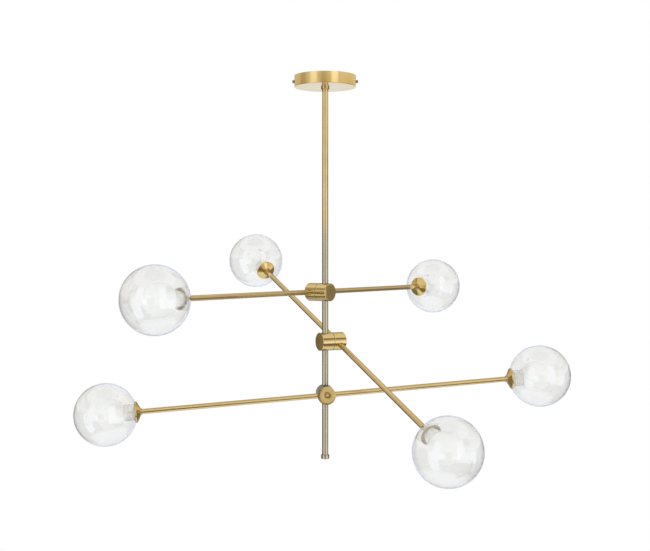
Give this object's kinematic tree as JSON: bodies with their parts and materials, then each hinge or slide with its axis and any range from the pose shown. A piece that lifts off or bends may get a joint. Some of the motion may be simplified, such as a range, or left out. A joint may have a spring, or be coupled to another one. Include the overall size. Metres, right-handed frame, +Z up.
{
  "type": "sputnik chandelier",
  "caption": "Ceiling chandelier: a straight stem carries swivelling, tilting pairs of arms, each ending in a clear glass globe around an opal ball.",
  "frame": {"origin": "on the stem axis in the ceiling plane, at the centre of the bracket's screw slots", "axes": "+Z up along the stem towards the ceiling, +X to the right and +Y to the rear as the picture shows the chandelier"},
  "size_m": [0.9542, 0.8108, 0.743],
  "materials": {
    "brass": "polished brass",
    "zinc_steel": "zinc plated",
    "white_holder": "white moulded screw barrel",
    "clear_glass": "clear blown glass",
    "opal_glass": "opal white glass",
    "led_capsule": "frosted cover",
    "white_nylon": "moulded",
    "nylon_washer": "friction washer",
    "lead_sheath": "sheathed lead"
  },
  "bodies": {
    "stem": {"canopy_cover": "brass", "ceiling_bracket": "zinc_steel", "canopy_side_screws": "brass", "earth_screw": "zinc_steel", "terminal_block": "white_nylon", "supply_lead": "lead_sheath", "stem_nipple": "zinc_steel", "nipple_washer": "zinc_steel", "nipple_nut": "zinc_steel", "canopy_collar": "brass", "stem_tube": "brass", "stem_end_cap": "brass"},
    "upper_swivel": {"upper_stem_clamp": "brass", "upper_grub_screw": "zinc_steel", "upper_friction_washer": "nylon_washer", "upper_pivot_bolt": "brass"},
    "upper_arms": {"upper_arm_hub": "brass", "upper_right_arm_tube": "brass", "upper_right_globe_cup": "brass", "upper_right_lampholder": "white_holder", "upper_right_clear_globe": "clear_glass", "upper_right_opal_globe": "opal_glass", "upper_left_arm_tube": "brass", "upper_left_globe_cup": "brass", "upper_left_lampholder": "white_holder", "upper_left_clear_globe": "clear_glass", "upper_left_opal_globe": "opal_glass", "upper_led_capsules": "led_capsule"},
    "middle_swivel": {"middle_stem_clamp": "brass", "middle_grub_screw": "zinc_steel", "middle_friction_washer": "nylon_washer", "middle_pivot_bolt": "brass"},
    "middle_arms": {"middle_arm_hub": "brass", "middle_front_arm_tube": "brass", "middle_front_globe_cup": "brass", "middle_front_lampholder": "white_holder", "middle_front_clear_globe": "clear_glass", "middle_front_opal_globe": "opal_glass", "middle_back_arm_tube": "brass", "middle_back_globe_cup": "brass", "middle_back_lampholder": "white_holder", "middle_back_clear_globe": "clear_glass", "middle_back_opal_globe": "opal_glass", "middle_led_capsules": "led_capsule"},
    "lower_swivel": {"lower_stem_clamp": "brass", "lower_grub_screw": "zinc_steel", "lower_friction_washer": "nylon_washer", "lower_pivot_bolt": "brass"},
    "lower_arms": {"lower_arm_hub": "brass", "lower_right_arm_tube": "brass", "lower_right_globe_cup": "brass", "lower_right_lampholder": "white_holder", "lower_right_clear_globe": "clear_glass", "lower_right_opal_globe": "opal_glass", "lower_left_arm_tube": "brass", "lower_left_globe_cup": "brass", "lower_left_lampholder": "white_holder", "lower_left_clear_globe": "clear_glass", "lower_left_opal_globe": "opal_glass", "lower_led_capsules": "led_capsule"}
  },
  "joints": [
    {"name": "upper_swivel_turn", "type": "hinge", "parent": "stem", "child": "upper_swivel", "pos_m": [0, 0, -0.419], "axis": [0, 0, 1], "range_deg": [-40, 40]},
    {"name": "upper_arms_tilt", "type": "hinge", "parent": "upper_swivel", "child": "upper_arms", "pos_m": [-0.01998, 0.01601, -0.419], "axis": [0.7804, -0.6252, 0], "range_deg": [-35.6, 34.4]},
    {"name": "middle_swivel_turn", "type": "hinge", "parent": "stem", "child": "middle_swivel", "pos_m": [0, 0, -0.515], "axis": [0, 0, 1], "range_deg": [-40, 40]},
    {"name": "middle_arms_tilt", "type": "hinge", "parent": "middle_swivel", "child": "middle_arms", "pos_m": [0.02271, 0.01182, -0.515], "axis": [-0.887, -0.4617, 0], "range_deg": [-13, 57]},
    {"name": "lower_swivel_turn", "type": "hinge", "parent": "stem", "child": "lower_swivel", "pos_m": [0, 0, -0.616], "axis": [0, 0, 1], "range_deg": [-40, 40]},
    {"name": "lower_arms_tilt", "type": "hinge", "parent": "lower_swivel", "child": "lower_arms", "pos_m": [0.00223, -0.0255, -0.616], "axis": [0.0872, -0.9962, 0], "range_deg": [-39.5, 30.5]}
  ]
}
